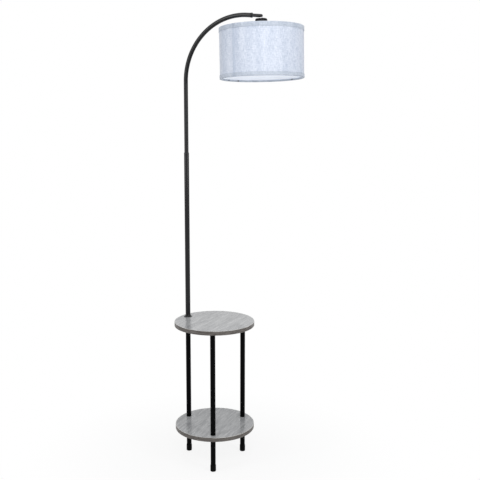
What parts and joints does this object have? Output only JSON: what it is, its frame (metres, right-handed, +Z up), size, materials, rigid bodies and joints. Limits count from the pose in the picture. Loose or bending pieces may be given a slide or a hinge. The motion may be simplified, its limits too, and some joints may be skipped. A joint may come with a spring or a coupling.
{
  "type": "floor lamp with table",
  "caption": "Arc floor lamp with a hanging drum shade, whose pole rises from a round three-legged side table with a lower shelf.",
  "frame": {"origin": "centre of the bounding box's bottom, on the floor", "axes": "+Z up; +X to the right and +Y to the back, seen from the picture's side"},
  "size_m": [0.4778, 0.375, 1.6879],
  "materials": {
    "black_steel": "satin black powder coat on steel tube",
    "zinc_steel": "zinc-plated steel",
    "bright_steel": "plated steel, polished",
    "black_rubber": "moulded black rubber",
    "lead_jacket": "PVC lead jacket",
    "grey_oak": "grey-washed wood-grain laminate, satin",
    "board_edge": "grey-brown grained edge strip",
    "black_nylon": "nylon",
    "cup_gloss": "gloss black enamel",
    "black_phenolic": "moulded phenolic",
    "brass": "plain brass",
    "white_wire": "white-coated steel wire",
    "shade_linen": "pale blue-grey slub linen weave",
    "hem_linen": "folded linen strip",
    "shade_liner": "white translucent styrene",
    "dark_clip": "dark steel",
    "frosted_bulb": "frosted white",
    "bulb_cap": "rolled aluminium"
  },
  "bodies": {
    "stand": {"foot_cap_front": "black_rubber", "lower_leg_front": "black_steel", "upper_leg_front": "black_steel", "foot_cap_right": "black_rubber", "lower_leg_right": "black_steel", "upper_leg_right": "black_steel", "foot_cap_rear": "black_rubber", "lower_leg_rear": "black_steel", "upper_leg_rear": "black_steel", "shelf_board": "grey_oak", "shelf_edge_band": "board_edge", "tabletop_board": "grey_oak", "tabletop_edge_band": "board_edge", "lower_leg_inserts": "zinc_steel", "upper_leg_inserts": "zinc_steel", "shelf_studs": "zinc_steel", "shelf_nipple": "zinc_steel", "hanger_bolts": "zinc_steel", "tabletop_nipple": "zinc_steel", "pole_flange": "black_steel", "pole_insert": "zinc_steel", "pole_bush": "black_nylon", "lower_pole": "black_steel", "cord_gland": "black_rubber", "stand_wire": "lead_jacket"},
    "arm": {"arm_tube": "black_steel", "arm_ferrule": "black_steel", "arm_bush": "black_nylon", "arm_wire": "lead_jacket"},
    "end_tube": {"end_tube": "black_steel", "end_fork": "black_steel", "knuckle_screw": "zinc_steel", "end_wire": "lead_jacket"},
    "head": {"neck_stem": "bright_steel", "socket_cup": "cup_gloss", "cup_nut": "zinc_steel", "lamp_socket": "black_phenolic", "socket_shell": "brass", "socket_contact": "brass", "neck_wire": "lead_jacket", "shade_spider": "white_wire", "shade_bottom_wire": "white_wire", "shade_ring_nut": "black_phenolic", "shade_fabric": "shade_linen", "shade_liner": "shade_liner", "shade_top_hem": "hem_linen", "shade_bottom_hem": "hem_linen", "hem_clips": "dark_clip", "bulb_globe": "frosted_bulb", "bulb_base": "bulb_cap"},
    "switch": {"switch_stem": "zinc_steel", "switch_knob": "black_phenolic"}
  },
  "joints": [
    {"name": "arm_swing", "type": "hinge", "parent": "stand", "child": "arm", "pos_m": [-0.19184, 0.09916, 1.1864], "axis": [0, 0, 1], "range_deg": [-60, 60]},
    {"name": "end_tube_turn", "type": "hinge", "parent": "arm", "child": "end_tube", "pos_m": [0.05011, -0.01366, 1.67722], "axis": [0.9017, -0.4205, -0.1011], "range_deg": [-30, 30]},
    {"name": "head_tilt", "type": "hinge", "parent": "end_tube", "child": "head", "pos_m": [0.0841, -0.02951, 1.67341], "axis": [-0.4204, -0.9071, 0.0231], "range_deg": [-8, 25]},
    {"name": "switch_turn", "type": "hinge", "parent": "head", "child": "switch", "pos_m": [0.09493, -0.00905, 1.63488], "axis": [0.4204, 0.9071, -0.0231], "continuous": true}
  ]
}
